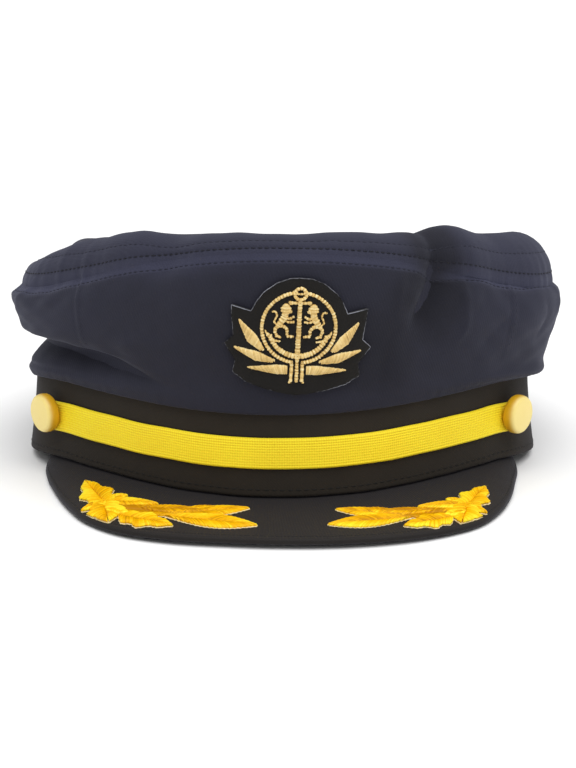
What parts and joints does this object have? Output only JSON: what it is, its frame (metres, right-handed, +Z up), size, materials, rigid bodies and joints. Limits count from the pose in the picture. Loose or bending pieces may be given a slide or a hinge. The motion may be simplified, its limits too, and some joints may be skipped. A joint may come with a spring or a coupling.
{
  "type": "captain hat",
  "caption": "Soft navy captain hat with black band, short black visor, yellow strap held by two covered buttons, anchor badge and leaf sprigs on the visor.",
  "frame": {"origin": "under the middle of the hat's bounding box, on the surface that it stands on", "axes": "+Z up, -Y the way the hat faces, +X the wearer's left"},
  "size_m": [0.2074, 0.2388, 0.0966],
  "materials": {
    "navy_cloth": "matt cotton twill, navy",
    "black_cloth": "matt plain-weave cloth, black",
    "visor_cloth": "matt cloth stretched over a stiff visor, black",
    "yellow_ribbon": "ribbed woven ribbon, bright yellow",
    "button_cover": "smooth, slightly glossy, pale yellow",
    "patch_felt": "dense black felt with a cut edge",
    "gold_thread": "satin-stitched metallic gold thread",
    "yellow_thread": "satin-stitched golden yellow thread"
  },
  "bodies": {
    "root": {"crown_wall": "navy_cloth", "crown_top": "navy_cloth", "band": "black_cloth", "visor": "visor_cloth", "strap": "yellow_ribbon", "button_left": "button_cover", "button_right": "button_cover", "badge_patch": "patch_felt", "badge_anchor": "gold_thread", "badge_lion_left": "gold_thread", "badge_lion_right": "gold_thread", "badge_leaf_left_1": "gold_thread", "badge_leaf_left_2": "gold_thread", "badge_leaf_left_3": "gold_thread", "badge_leaf_right_1": "gold_thread", "badge_leaf_right_2": "gold_thread", "badge_leaf_right_3": "gold_thread", "sprig_left": "yellow_thread", "sprig_right": "yellow_thread"}
  },
  "joints": []
}
